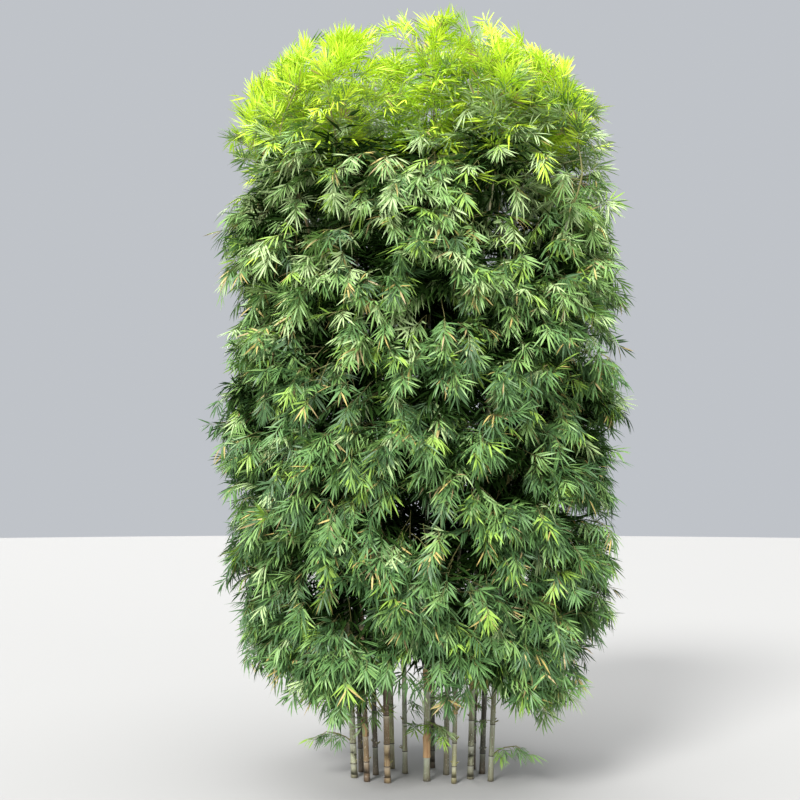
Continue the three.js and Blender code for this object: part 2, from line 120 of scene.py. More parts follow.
# Each low bough: name, its culm's row, height, direction in plan, reach, and rise of its tip
LOW_BOUGH_ROWS = (
    ("left", 0, 0.180, 3.4, 0.120, 0.060),
    ("front", 7, 0.284, 5.2, 0.105, 0.030),
    ("right", 14, 0.134, 5.9, 0.110, 0.055),
)
LOW_BOUGH_RADII = (0.0040, 0.0034, 0.0030, 0.0026)
LOW_FOLIAGE_REACH = 0.115
LOW_TWIG_RADII = (0.0026, 0.0022, 0.0018, 0.0012)
LOW_ELBOW_SHARE = 0.25
LOW_END_SHARE = 0.6
LOW_END_PITCH = -0.6
LOW_SPRAYS = 9
LOW_SPRAY_PITCHES = (-0.9, 0.1)
LOW_STALK = 0.045

# From here on, pairs are the ends of a range, or the values at a limb's root and at its end.

# Leaves and the sprays that they stand on
LEAF_LENGTH = (0.072, 0.112)
LEAF_WIDTH = (0.0074, 0.0107)
LEAF_FOLD = 0.18
PLUME_LEAF_SLIMNESS = 0.80
LOW_LEAF_SIZE = 0.72
SPRAY_LEAVES = (8, 11)
PAST_STALK = 0.05
SPRAY_LENGTH = (0.045, 0.085)
STALK_RADII = (0.0010, 0.0006)
SPRAY_END_SHARES = (0.92, 1.0)
LOWEST_TIP = 0.020
HIGHEST_TIP = 4.230
INNER_SHARE = 0.74
INNER_FLOOR = 0.90

# How the leaves stand on a spray. Upright sprays spread and droop less.
FIRST_LEAF = 0.15
SPRAY_ROLL_BLUR = 0.5
LEAF_ROLL_BLUR = 0.2
LEAF_SPREAD = (1.15, 0.35)
UPRIGHT_SPREAD = 0.7
LEAF_SPREAD_BLUR = 0.16
LAST_LEAF_BLUR = 0.1
LEAF_WEIGHT = (0.0, 0.40)
LEAF_AIM_BLUR = 0.06
LEAF_TWIST_BLUR = 0.3
LEAF_SIZES = (0.8, 1.08)
LEAF_SIZE_ARC = 2.4
LEAF_DROOP = (0.0, 0.26)
UPRIGHT_DROOP = 0.35

# Large leaves inside the crown, and how many of their sprays stand on each kind of limb. Below
# SHADE_TOP they are near-black, as painted shade. Above it they are bright, as painted light.
SHADE_LEAF_LENGTH = (0.110, 0.160)
SHADE_LEAF_WIDTH = (0.016, 0.022)
SHADE_SPRAY_LEAVES = (6, 9)
CORE_LEAF_SLIMNESS = 0.70
SHADE_PER_TUFT = 10
SHADE_PER_PLUME = 100
SHADE_PER_CULM = 88
SHADE_PER_STEM = 34
SHADE_PER_TWIG = 10
SHADE_REACH = 0.72
SHADE_END_SHARE = 0.88
SHADE_IN_HOLLOWS = 0.6
SHADE_ABOVE_HEM = 0.28
SHADE_TOP = 3.33
INNER_HEIGHTS = (0.9, 1.5, 2.1, 2.7)

# How they stand along a limb: their places, turns, pitches and stalks
SHADE_STANCE = ((0.0, 0.95), (-1.8, 1.8), (-0.7, 0.5), (0.08, 0.16))
PLUME_SHADE_STANCE = ((0.0, 0.75), (0, 2 * math.pi), (-0.4, 0.6), (0.10, 0.26))

# Thin side twigs. Their sag and their sprays' drop are for a hanging and for an upright one.
TWIG_RADII = (0.0016, 0.0013, 0.0011, 0.0008)
TWIG_SAG = (0.34, 0.02)
TWIG_SAG_RANGE = (0.5, 1.4)
TWIG_BEND = 0.55
TWIG_END_SHARES = (0.80, 0.93)
TWIG_ABOVE_HEM = 0.04
TWIG_SHORTENING = 0.8
SHORTEST_TWIG = 0.03
TWIG_SPRAYS = 5
SPRAY_DROP = (0.22, -0.05)
SPRAY_TILT_BLUR = 0.40

# Fans on either side of a limb in turn: the share of the limb that they start at, how far they
# spread, the share at which they would close, and the blur of their turns
SPRAY_FAN = (0.3, 0.85, 1.12, 0.4)
TWIG_FAN = (0.55, 1.25, 1.2, 0.35)
LOW_FAN = (0.2, 1.0, 1.2, 0.3)

# Tufts that fill a cell of the crown, one in each column of each level, and their side twigs
TUFT_COLUMNS = 5
TUFT_LEVELS = 5
TUFT_OVERREACH = 1.1
TUFT_DEPTHS = (0.62, 0.84)
TUFT_ABOVE_HEM = 0.10
TUFT_LIMB_ROOTS = (0.05, 0.7)
TUFT_LIMB_ARCH = 0.06
TUFT_LIMB_RADII = (0.0026, 0.0023, 0.0020, 0.0017, 0.0013)
TWIGS_PER_TUFT = 5
TWIG_LENGTH = (0.13, 0.25)
TWIG_PITCHES = (0.45, -0.25)
TWIG_PITCH_BLUR = 0.3

# Plumes: each one's line and the side twigs all round it
PLUME_OVERLAP = 0.005
PLUME_END_GAP = 0.12
PLUME_POINTS = 9
PLUME_ROOT_SHARE = 0.85
PLUME_END_RADIUS = 0.0016
PLUME_REACH = 0.80
PLUME_TWIGS = 48
PLUME_TURN_STEP = 2.4
PLUME_TURN_BLUR = 0.5
PLUME_PITCHES = (-0.1, 0.85)
PLUME_PITCH_BLUR = 0.35
PLUME_UPRIGHT_SPEED = 1.3
PLUME_TWIG_LENGTH = (0.26, 0.44)
PLUME_TWIG_SHARES = (1.45, 0.9)
PLUME_TWIG_SPRAYS = 9

# Small leafy twigs at the culms' lower joints
FOOT_HEIGHTS = (0.2, 0.9)
FOOT_BARE_SHARE = 0.5
FOOT_TURN_REACH_PITCH = ((0, 2 * math.pi), (0.05, 0.15), (-0.2, 0.9))
FOOT_BEND = 0.6
FOOT_BEND_PITCH = 1.1
FOOT_RADII = (0.0020, 0.0017, 0.0014, 0.0010)
FOOT_PLACES = (0.5, 0.75, 0.9, 1.0)
FOOT_TURN_BLUR = 0.8
FOOT_PITCH_STALK = ((-0.9, 0.4), (0.03, 0.06))

# The ragged lower edge of the foliage: its height at the clump, and how it rises outwards. It hangs
# lower where the frame's masses do.
HEM_HEIGHT = 0.375
HEM_RISE = 0.15
HEM_WAVE = 0.085
HEM_RIPPLE = 0.05
HEM_RIPPLE_COUNT = 7
HEM_RIPPLE_TURN = 2.1
HEM_BLUR = 0.11

# Lumps of single plumes on the dome: their height, the radians of their waves in a metre either
# way, and from where upwards they grow to that height
LUMP_HEIGHT = 0.060
LUMP_ACROSS = 11.5
LUMP_DEEP = 9.0
LUMP_FLOOR = 3.3
LUMP_FADE = 0.5

# Shaded hollows between the clusters of leaves, as shares of the crown's outline. Each wave has
# its count round the crown, its radians in a metre of height and its start.
HOLLOW_DEPTH = 0.24
HOLLOW_START = 0.50
HOLLOW_SPAN = 1.1
HOLLOW_WAVES = ((8, 5.7, 0.0), (12, -7.6, 1.0), (5, 10.4, 2.0))

rng = np.random.default_rng(20417)


def lerp(a, b, share):
    return a + (b - a) * share


def drawn(ranges):
    """A random number from each of some ranges."""
    return [rng.uniform(*ends) for ends in ranges]


def seeded_draw(seed):
    """Seeded random numbers from 0 to 1, the same as the frame's own rule draws."""
    mask = 0xFFFFFFFF
    state = seed & mask

    def draw():
        nonlocal state
        state = (state + 0x6D2B79F5) & mask
        mixed = ((state ^ (state >> 15)) * (state | 1)) & mask
        mixed ^= (mixed + (((mixed ^ (mixed >> 7)) * (mixed | 61)) & mask)) & mask
        return ((mixed ^ (mixed >> 14)) & mask) / 4294967296

    return draw


def heading(angle, pitch):
    level = math.cos(pitch)
    return Vector((math.cos(angle) * level, math.sin(angle) * level, math.sin(pitch)))


def crown_share(height):
    """How much of the crown's full half-width it has at a height, or at many heights."""
    height = np.asarray(height, float)
    rise = np.clip((height - WIDEST_HEIGHT) / (DOME_TOP - WIDEST_HEIGHT), 0, 1)
    dome = (1 - rise**DOME_SHARPNESS) ** DOME_ROUNDNESS
    drop = np.clip((WIDEST_HEIGHT - height) / WIDEST_HEIGHT, 0, None)
    return np.where(height > WIDEST_HEIGHT, dome, 1 - SKIRT_NARROWING * drop * drop)


def bulge_share(angle, height):
    """The outline draws in between the masses, which stand higher in every other sector."""
    upward = np.cos(2 * np.pi * (height - BULGE_HEIGHT) / BULGE_PITCH)
    return 1 - BULGE_DEPTH * (1 - np.cos(SECTORS / 2 * angle) * upward) / 2


def outline_share(points):
    """How far out points lie, as a share of the crown's outline in their direction and height."""
    points = np.asarray(points, float)
    across = points[..., 0] - CENTRE[0]
    deep = points[..., 1] - CENTRE[1]
    apart = np.hypot(across / CROWN_HALF_WIDTH, deep / CROWN_HALF_DEPTH)
    lumps = LUMP_HEIGHT * np.sin(LUMP_ACROSS * across) * np.cos(LUMP_DEEP * deep)
    fade = np.clip(points[..., 2] - LUMP_FLOOR, 0, LUMP_FADE) / LUMP_FADE
    height = points[..., 2] - lumps * fade
    reach = crown_share(height) * bulge_share(np.arctan2(deep, across), height)
    return apart / np.maximum(reach, NARROWEST_SHARE)


def hollow_depth(p):
    """How far the leaves draw back from the crown's outline at a point, as a share of it."""
    angle = math.atan2(p.y - CENTRE[1], p.x - CENTRE[0])
    ripple = sum(math.sin(count * angle + pitch * p.z + turn) for count, pitch, turn in HOLLOW_WAVES)
    return HOLLOW_DEPTH * min(1, max(0, (ripple - HOLLOW_START) / HOLLOW_SPAN))


def outline_radius(angle, height):
    apart = math.hypot(math.cos(angle) / CROWN_HALF_WIDTH, math.sin(angle) / CROWN_HALF_DEPTH)
    return float(crown_share(height) * bulge_share(angle, height)) / apart


def crown_point(angle, radius, height):
    x = CENTRE[0] + math.cos(angle) * radius
    return Vector((x, CENTRE[1] + math.sin(angle) * radius, height))


class Culm:
    """One culm of the frame: its centre line, radius and joints."""

    def __init__(self, index, row):
        x, y, diameter, self.first_joint, head_height, tip_height, self.finish = row
        self.name = f"culm_{index + 1:02d}"
        self.foot = Vector((x, y))
        self.head = Vector((
            CENTRE[0] + (x - CENTRE[0]) * FAN_ACROSS,
            CENTRE[1] + (y - CENTRE[1]) * FAN_DEEP,
            head_height,
        ))
        self.base_radius = diameter / 2
        self.tip_height = tip_height
        self.stem_top = lerp(head_height, tip_height, PLUME_STEM_SHARE)

    def point(self, height):
        share = height / self.head.z
        bend = STRAIGHT_SHARE * share + (1 - STRAIGHT_SHARE) * share**3
        x = lerp(self.foot.x, self.head.x, bend)
        return Vector((x, lerp(self.foot.y, self.head.y, bend), height))

    def radius(self, height):
        flare = 1 + (FOOT_FLARE - 1) * max(0, 1 - height / FLARE_HEIGHT)
        return self.base_radius * lerp(1, HEAD_TAPER, height / self.head.z) * flare

    def joints(self):
        heights = []
        internode = self.first_joint
        height = internode
        while height < self.head.z - TOP_INTERNODE:
            heights.append(height)
            internode = min(internode + INTERNODE_GROWTH, LONGEST_INTERNODE)
            height += internode
        return heights

    def nearest_joint(self, height):
        return min(self.joints(), key=lambda joint: abs(joint - height))


culms = [Culm(index, row) for index, row in enumerate(CULM_ROWS)]


def clear_of_culms(p, radius, left_out):
    """Whether a ball at a point keeps its distance from every culm but one."""
    for culm in culms:
        if culm is left_out or p.z > culm.stem_top + CULM_MARGIN + radius:
            continue
        height = min(p.z, culm.stem_top)
        apart = (p.xy - culm.point(height).xy).length
        if apart * LEAN_ALLOWANCE <= culm.radius(height) * RIDGE_SWELL + radius + CULM_MARGIN:
            return False
    return True


def bent_line(start, middle, end, steps):
    shares = [i / steps for i in range(steps + 1)]
    return [start * (1 - t) ** 2 + middle * (2 * t * (1 - t)) + end * t * t for t in shares]


def point_along(line, share):
    place = min(share, LINE_END) * (len(line) - 1)
    step = int(place)
    return line[step].lerp(line[step + 1], place - step)


def limb_is_clear(line, radius, left_out):
    checks = len(line) * CHECKS_PER_POINT
    return all(
        clear_of_culms(point_along(line, i / checks), radius, left_out) for i in range(checks + 1)
    )


def stem_middle(start, aim):
    middle = start.lerp(aim, 0.5)
    middle.z += STEM_ARCH * (aim.xy - start.xy).length
    return middle


def carrier_for(angle, height, aim):
    """The culm and joint that best carry a stem in a direction, with a clear way out."""
    outward = heading(angle, 0).xy
    ranked = []
    for culm in culms:
        joint = culm.nearest_joint(height)
        out = culm.point(joint).xy - Vector(CENTRE)
        aside = abs(out.x * outward.y - out.y * outward.x)
        ranked.append((out.dot(outward) - ASIDE_COST * aside, culm, joint))
    ranked.sort(key=lambda row: -row[0])
    for _, culm, joint in ranked:
        start = culm.point(joint)
        line = bent_line(start, stem_middle(start, aim), aim, STEM_STEPS)
        if limb_is_clear(line, FRAME_STEM_RADIUS, culm):
            return culm, joint
    return ranked[0][1:]


def cell_floor(tier, sector):
    return TIER_FLOORS[tier] + (-1 if sector % 2 else 1) * TIER_STAGGER[tier]


def hem_height(p):
    """Height of the foliage's ragged lower edge above a point of the ground."""
    angle = math.atan2(p.y - CENTRE[1], p.x - CENTRE[0])
    wave = HEM_WAVE * math.cos(SECTORS / 2 * angle)
    wave += HEM_RIPPLE * math.sin(HEM_RIPPLE_COUNT * angle + HEM_RIPPLE_TURN)
    return HEM_HEIGHT + HEM_RISE * float(outline_share(p)) ** 2 + wave


class Growth:
    """The limbs and sprays of one tier. Limbs are kept by their number of points and sides.

    A spray's row is its root, its direction and pitch, its stalk's length, how upright it stands
    and the size of its leaves.
    """

    def __init__(self):
        self.limbs = {}
        self.sprays = []
        self.painted_shade_sprays = []
        self.painted_light_sprays = []

    def limb(self, points, radii, sides=3):
        rows = self.limbs.setdefault((len(points), sides), [])
        rows.append(([tuple(p) for p in points], list(radii)))

    def spray(self, root, angle, pitch, length, upright, low=False):
        tip = root + heading(angle, pitch) * (length + PAST_STALK)
        ragged = hem_height(tip) + rng.normal(0, HEM_BLUR)
        furthest = rng.uniform(*SPRAY_END_SHARES) - hollow_depth(tip)
        if outline_share(tip) > furthest or (not low and tip.z < ragged):
            return
        size = LOW_LEAF_SIZE if low else 1.0
        self.sprays.append((*root, angle, pitch, length, upright, size))

    def shade_spray(self, root, angle, pitch, length):
        """Large leaves inside the crown: dark ones low down, painted shade, and light ones in the
        plumes, painted light.
        """
        hollow = SHADE_IN_HOLLOWS * hollow_depth(root)
        covered = outline_share(root) < SHADE_REACH - hollow
        if covered and hem_height(root) + SHADE_ABOVE_HEM < root.z:
            sprays = self.painted_shade_sprays if root.z < SHADE_TOP else self.painted_light_sprays
            sprays.append((*root, angle, pitch, length, 0.0, 1.0))


def fan_out(fan, count, angle):
    """Shares along a limb and the turns of what grows there, on either side of it in turn."""
    first, spread, closing, blur = fan
    for place in range(count):
        share = lerp(first, 1.0, place / (count - 1))
        side = 1 if place % 2 else -1
        yield share, angle + side * spread * (closing - share) + rng.normal(0, blur)


def grow_twig(growth, start, angle, pitch, length, upright=0.0, sprays=TWIG_SPRAYS):
    """A thin side twig that droops, or stands where upright is 1, and carries sprays."""
    sag = length * lerp(*TWIG_SAG, upright) * rng.uniform(*TWIG_SAG_RANGE)
    furthest = rng.uniform(*TWIG_END_SHARES)
    while True:
        middle = start + heading(angle, pitch) * (length * TWIG_BEND)
        end = start + heading(angle, pitch) * length - Vector((0, 0, sag))
        above_hem = end.z > hem_height(end) + TWIG_ABOVE_HEM
        if above_hem and outline_share(end) < furthest - hollow_depth(end):
            break
        length *= TWIG_SHORTENING
        sag *= TWIG_SHORTENING
        if length < SHORTEST_TWIG:
            return
    line = bent_line(start, middle, end, len(TWIG_RADII) - 1)
    growth.limb(line, TWIG_RADII)
    end_pitch = math.atan2((end - middle).z, (end - middle).xy.length)
    for share, turn in fan_out(SPRAY_FAN, sprays, angle):
        tilt = lerp(pitch, end_pitch, share) - lerp(*SPRAY_DROP, upright)
        tilt += rng.normal(0, SPRAY_TILT_BLUR)
        size = rng.uniform(*SPRAY_LENGTH)
        growth.spray(point_along(line, share), turn, tilt, size, upright)


def grow_shade(growth, line, angle, sprays, stance=SHADE_STANCE):
    """Large leaves along a limb inside the crown, which keep it from being seen through."""
    # Their colour is painted shade below SHADE_TOP and painted light above it.
    for _ in range(sprays):
        place, turn, pitch, stalk = drawn(stance)
        growth.shade_spray(point_along(line, place), angle + turn, pitch, stalk)


def grow_inner_shade(growth):
    """Near-black leaves of painted shade along each culm inside the crown."""
    for culm in culms:
        line = [culm.point(height) for height in (*INNER_HEIGHTS, culm.head.z)]
        grow_shade(growth, line, rng.uniform(0, 2 * math.pi), SHADE_PER_CULM)


def grow_tuft(growth, line, angle):
    """Side twigs along the outer part of a limb, with near-black leaves of painted shade behind
    them.
    """
    for share, turn in fan_out(TWIG_FAN, TWIGS_PER_TUFT, angle):
        pitch = lerp(*TWIG_PITCHES, share) + rng.normal(0, TWIG_PITCH_BLUR)
        length = rng.uniform(*TWIG_LENGTH)
        grow_twig(growth, point_along(line, share), turn, pitch, length)
    grow_shade(growth, line, angle, SHADE_PER_TUFT)


def grow_cell(growth, twigs, sector, floor, ceiling):
    """Tufts throughout a cell, each on an arching limb from the nearest first twig."""
    for level in range(TUFT_LEVELS):
        for column in range(TUFT_COLUMNS):
            row_share = (level + rng.uniform(0, 1)) / TUFT_LEVELS
            turn_share = (column + rng.uniform(0, 1)) / TUFT_COLUMNS - 0.5
            turn = sector * SECTOR_STEP + turn_share * SECTOR_STEP
            height = lerp(floor, ceiling, row_share * TUFT_OVERREACH)
            reach = rng.uniform(*TUFT_DEPTHS) * outline_radius(turn, height)
            target = crown_point(turn, reach, height)
            lowest = max(floor, hem_height(target) + TUFT_ABOVE_HEM)
            target.z = lerp(lowest, ceiling, row_share * TUFT_OVERREACH)
            twig = min(twigs, key=lambda each: (each[1] - target).length)
            root = point_along(twig, rng.uniform(*TUFT_LIMB_ROOTS))
            middle = root.lerp(target, 0.5) + Vector((0, 0, TUFT_LIMB_ARCH))
            line = bent_line(root, middle, target, len(TUFT_LIMB_RADII) - 1)
            growth.limb(line, TUFT_LIMB_RADII, sides=4)
            grow_tuft(growth, line, turn)


def grow_side_mass(growth, tier, sector):
    """A side mass of the frame: its stem and first twigs, and the foliage of its cell."""
    angle = sector * SECTOR_STEP
    floor = cell_floor(tier, sector)
    ceiling = cell_floor(tier + 1, sector)
    aim_height = lerp(floor, ceiling, STEM_AIM_SHARE)
    aim = crown_point(angle, STEM_AIM_SHARE * outline_radius(angle, aim_height), aim_height)
    culm, joint = carrier_for(angle, lerp(floor, ceiling, STEM_ROOT_SHARE), aim)
    start = culm.point(joint)
    stem = bent_line(start, stem_middle(start, aim), aim, STEM_STEPS)
    growth.limb(stem, STEM_RADII, sides=6)
    draw = seeded_draw(TIER_SEEDS[tier] + sector)
    twigs = []
    for row_share in TUFT_ROWS:
        for side in (-1, 1):
            aside = side * TUFT_SIDE + (draw() - 0.5) * TUFT_TURN_JITTER
            turn = angle + aside * SECTOR_STEP
            height = lerp(floor, ceiling, row_share + (draw() - 0.5) * TUFT_HEIGHT_JITTER)
            reach = lerp(*TUFT_REACHES, draw()) * outline_radius(turn, height)
            root = point_along(stem, lerp(*TUFT_ROOTS, draw()))
            twigs.append([root, crown_point(turn, reach, height)])
    grow_shade(growth, stem, angle, SHADE_PER_STEM)
    for twig in twigs:
        growth.limb(twig, FIRST_TWIG_RADII, sides=4)
        grow_shade(growth, twig, angle, SHADE_PER_TWIG)
    grow_cell(growth, twigs, sector, floor, ceiling)


def grow_plume(growth, culm):
    """A plume: the culm's own line runs on to its tip, with leafy side twigs all round it."""
    lowest = culm.head.z - PLUME_OVERLAP
    heights = np.linspace(lowest, culm.tip_height - PLUME_END_GAP, PLUME_POINTS)
    line = [culm.point(height) for height in heights]
    for p in line:
        inward = min(1, PLUME_REACH / float(outline_share(p)))
        p.xy = Vector(CENTRE).lerp(p.xy, inward)
    root_radius = PLUME_ROOT_SHARE * culm.radius(culm.head.z)
    growth.limb(line, np.linspace(root_radius, PLUME_END_RADIUS, PLUME_POINTS), sides=6)
    for place in range(PLUME_TWIGS):
        share = (place + rng.uniform(0, 1)) / PLUME_TWIGS
        turn = place * PLUME_TURN_STEP + rng.uniform(-PLUME_TURN_BLUR, PLUME_TURN_BLUR)
        pitch = lerp(*PLUME_PITCHES, share) + rng.normal(0, PLUME_PITCH_BLUR)
        upright = float(np.clip(share * PLUME_UPRIGHT_SPEED, 0, 1))
        length = rng.uniform(*PLUME_TWIG_LENGTH) * lerp(*PLUME_TWIG_SHARES, share)
        root = point_along(line, share)
        grow_twig(growth, root, turn, pitch, length, upright, PLUME_TWIG_SPRAYS)
    grow_shade(growth, line, 0, SHADE_PER_PLUME, PLUME_SHADE_STANCE)


def grow_low_mass(growth, row):
    """A low bough of the frame, and the leafy twig that bends down from its end."""
    _, culm_row, height, angle, reach, rise = row
    culm = culms[culm_row]
    start = culm.point(culm.nearest_joint(height))
    tip = start + Vector((math.cos(angle) * reach, math.sin(angle) * reach, rise))
    line = bent_line(start, stem_middle(start, tip), tip, STEM_STEPS)
    growth.limb(line, LOW_BOUGH_RADII, sides=6)
    onward = (tip - line[-2]).normalized()
    elbow = tip + onward * (LOW_FOLIAGE_REACH * LOW_ELBOW_SHARE)
    end = elbow + heading(angle, LOW_END_PITCH) * (LOW_FOLIAGE_REACH * LOW_END_SHARE)
    growth.limb([tip, elbow, elbow.lerp(end, 0.5), end], LOW_TWIG_RADII, sides=4)
    for share, turn in fan_out(LOW_FAN, LOW_SPRAYS, angle):
        root = point_along([*line, elbow, end], share)
        growth.spray(root, turn, rng.uniform(*LOW_SPRAY_PITCHES), LOW_STALK, 0.0, low=True)


def grow_foot_sprays(growth):
    """Small leafy twigs at the culms' lower joints, under the edge of the foliage."""
    low, high = FOOT_HEIGHTS
    for culm in culms:
        for joint in culm.joints():
            if not low < joint < high or rng.uniform(0, 1) < FOOT_BARE_SHARE:
                continue
            turn, reach, pitch = drawn(FOOT_TURN_REACH_PITCH)
            start = culm.point(joint)
            middle = start + heading(turn, FOOT_BEND_PITCH) * reach * FOOT_BEND
            end = start + heading(turn, pitch) * reach
            line = bent_line(start, middle, end, len(FOOT_RADII) - 1)
            growth.limb(line, FOOT_RADII)
            for share in FOOT_PLACES:
                aside = turn + rng.normal(0, FOOT_TURN_BLUR)
                root = point_along(line, share)
                growth.spray(root, aside, *drawn(FOOT_PITCH_STALK), 0.0, low=True)


# Meshes

STEEP_SHARE = 0.8
SHORTEST_VECTOR = 1e-9


def unit(vectors):
    return vectors / np.maximum(np.linalg.norm(vectors, axis=-1, keepdims=True), SHORTEST_VECTOR)


def joined_mesh(name, corners, faces, flat):
    """A mesh of rows of corners that have been numbered through."""
    mesh = bpy.data.meshes.new(name)
    mesh.from_pydata(np.concatenate(corners).tolist(), [], faces, shade_flat=flat)
    mesh.update()
    return mesh


def tube_mesh(name, limbs):
    """One mesh of all the limbs, each a closed tube with a ring of corners at every point."""
    all_corners = []
    all_faces = []
    offset = 0
    for (rings, sides), rows in sorted(limbs.items()):
        points = np.array([row[0] for row in rows])
        radii = np.array([row[1] for row in rows])[:, :, None, None]
        tangents = unit(np.gradient(points, axis=1))
        steep = np.abs(tangents[:, :1, 2:]) > STEEP_SHARE
        side = unit(np.cross(tangents, np.where(steep, (1, 0, 0), (0, 0, 1))))
        other = np.cross(tangents, side)[:, :, None]
        turns = 2 * np.pi * np.arange(sides)[:, None] / sides
        corners = points[:, :, None] + radii * (
            np.cos(turns) * side[:, :, None] + np.sin(turns) * other
        )
        index = offset + np.arange(radii.size * sides).reshape(-1, rings, sides)
        turned = np.roll(index, -1, axis=2)
        quads = np.stack([index[:, :-1], turned[:, :-1], turned[:, 1:], index[:, 1:]], axis=-1)
        all_faces += quads.reshape(-1, 4).tolist()
        all_faces += index[:, 0, ::-1].tolist()
        all_faces += index[:, -1].tolist()
        all_corners.append(corners.reshape(-1, 3))
        offset += index.size
    return joined_mesh(name, all_corners, all_faces, flat=True)


# Forms of a leaf: its corners as shares of its length, width and fold, and its faces
FINE_LEAF = (
    (
        (0.0, 0.0, 0.0), (0.28, -0.5, 1.0), (0.30, 0.0, 0.0), (0.28, 0.5, 1.0),
        (0.64, -0.41, 0.6), (0.64, 0.41, 0.6), (1.0, 0.0, 0.0),
    ),
    ((0, 2, 1), (0, 3, 2), (1, 2, 4), (4, 2, 5), (5, 2, 3), (4, 5, 6)),
)
PLAIN_LEAF = (
    ((0.0, 0.0, 0.0), (0.36, -0.5, 1.0), (0.36, 0.5, 1.0), (1.0, 0.0, 0.0)),
    ((0, 3, 1), (0, 2, 3)),
)


def leaf_corners(shares, base, along, normal, length, width, droop):
    side = unit(np.cross(along, normal))
    normal = np.cross(side, along)
    corners = np.empty((len(base), len(shares), 3))
    fold = LEAF_FOLD * width
    for place, (share, across, lift) in enumerate(shares):
        corners[:, place] = (
            base
            + along * (share * length)[:, None]
            + side * (across * width)[:, None]
            + normal * (lift * fold - droop * length * share * share)[:, None]
        )
    return corners


def spray_leaves(rows, counts, lengths, widths, furthest=1.0):
    """Leaves for rows of sprays in two ranks along each spray's stalk, and each leaf's spray."""
    count = len(rows)
    angle, pitch, length, upright, leaf_size = rows[:, 3:8].T
    shape = (count, counts[1])
    leaves = rng.integers(counts[0], counts[1] + 1, count)[:, None]
    level = np.cos(pitch)
    stalk = np.stack([np.cos(angle) * level, np.sin(angle) * level, np.sin(pitch)], axis=1)
    sideways = unit(np.cross(stalk, (0, 0, 1)))[:, None]
    upward = np.cross(sideways, stalk[:, None])
    place = np.arange(counts[1])
    share = np.clip(FIRST_LEAF + (1 - FIRST_LEAF) * place / (leaves - 1), 0, 1)
    base = rows[:, None, :3] + stalk[:, None] * (share * length[:, None])[..., None]
    roll = rng.normal(0, SPRAY_ROLL_BLUR, count)[:, None] + rng.normal(0, LEAF_ROLL_BLUR, shape)
    rank = sideways * np.cos(roll)[..., None] + upward * np.sin(roll)[..., None]
    flat = upward * np.cos(roll)[..., None] - sideways * np.sin(roll)[..., None]
    sign = np.where(place % 2 == 0, 1.0, -1.0)
    spread = lerp(*LEAF_SPREAD, share) * lerp(1.0, UPRIGHT_SPREAD, upright)[:, None]
    spread = spread + rng.normal(0, LEAF_SPREAD_BLUR, shape)
    spread = np.where(place == leaves - 1, rng.normal(0, LAST_LEAF_BLUR, shape), spread)
    along = stalk[:, None] * np.cos(spread)[..., None] + rank * (sign * np.sin(spread))[..., None]
    weight = rng.uniform(*LEAF_WEIGHT, count) * (1 - upright)
    along[..., 2] -= weight[:, None]
    along = unit(along + rng.normal(0, LEAF_AIM_BLUR, (*shape, 3)))
    normal = unit(flat + rank * rng.normal(0, LEAF_TWIST_BLUR, shape)[..., None])
    size = rng.uniform(*lengths, shape) * lerp(*LEAF_SIZES, np.sin(share * LEAF_SIZE_ARC))
    size *= leaf_size[:, None]
    width = rng.uniform(*widths, shape) * leaf_size[:, None]
    droop = rng.uniform(*LEAF_DROOP, shape) * lerp(1.0, UPRIGHT_DROOP, upright)[:, None]
    owner = np.broadcast_to(np.arange(count)[:, None], shape)
    tip = base + along * size[..., None]
    tip[..., 2] -= droop * size
    keep = (place < leaves) & (outline_share(tip) < furthest)
    keep &= (tip[..., 2] > LOWEST_TIP) & (tip[..., 2] < HIGHEST_TIP)
    made = dict(base=base, along=along, normal=normal, length=size, width=width)
    made |= dict(droop=droop, owner=owner)
    return {name: values[keep] for name, values in made.items()}


def leaf_mesh(name, leaves, forms):
    """One mesh of leaves. Each form comes with a mask of the leaves that have it."""
    all_corners = []
    all_faces = []
    offset = 0
    for (shares, form_faces), mask in forms:
        corners = leaf_corners(shares, **{key: values[mask] for key, values in leaves.items()})
        count, corner_count = corners.shape[:2]
        faces = offset + np.arange(count)[:, None, None] * corner_count + np.array(form_faces)
        offset += count * corner_count
        all_corners.append(corners.reshape(-1, 3))
        all_faces += faces.reshape(-1, 3).tolist()
    return joined_mesh(name, all_corners, all_faces, flat=False)


def finished_mesh(name, bm, smooth=False):
    """A mesh of what has been built, which is freed."""
    mesh = bpy.data.meshes.new(name)
    bm.to_mesh(mesh)
    bm.free()
    if smooth:
        mesh.shade_smooth()
    return mesh


def add_object(name, data):
    made = bpy.data.objects.new(name, data)
    scene.collection.objects.link(made)
    return made


def show(mesh, material, slot, *nodes):
    """Adds a finished mesh as a piece of the plant, in place of the frame's nodes if it has any."""
    piece = add_object(mesh.name, mesh)
    mesh.materials.append(material)
    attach(piece, "root")
    if nodes:
        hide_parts(*nodes)


# Materials


def shader_inputs(tree):
    return tree.nodes["Principled BSDF"].inputs


def plain_material(name, color, roughness, specular=0.4):
    material = bpy.data.materials.new(name)
    material.use_nodes = True
    inputs = shader_inputs(material.node_tree)
    inputs["Base Color"].default_value = (*color, 1)
    inputs["Roughness"].default_value = roughness
    inputs["Specular IOR Level"].default_value = specular
    return material


def node(tree, kind, **values):
    made = tree.nodes.new(kind)
    for key, value in values.items():
        if key in made.inputs:
            made.inputs[key].default_value = value
        else:
            setattr(made, key, value)
    return made


def noise(tree, stretch=(1, 1, 1), scale=1.0, detail=4.0):
    """A noise pattern on the piece's own coordinates, stretched by a factor on each axis."""
    place = node(tree, "ShaderNodeTexCoord")
    mapping = node(tree, "ShaderNodeMapping", Scale=stretch)
    pattern = node(tree, "ShaderNodeTexNoise", Scale=scale, Detail=detail)
    tree.links.new(place.outputs["Object"], mapping.inputs["Vector"])
    tree.links.new(mapping.outputs["Vector"], pattern.inputs["Vector"])
    return pattern.outputs["Fac"]


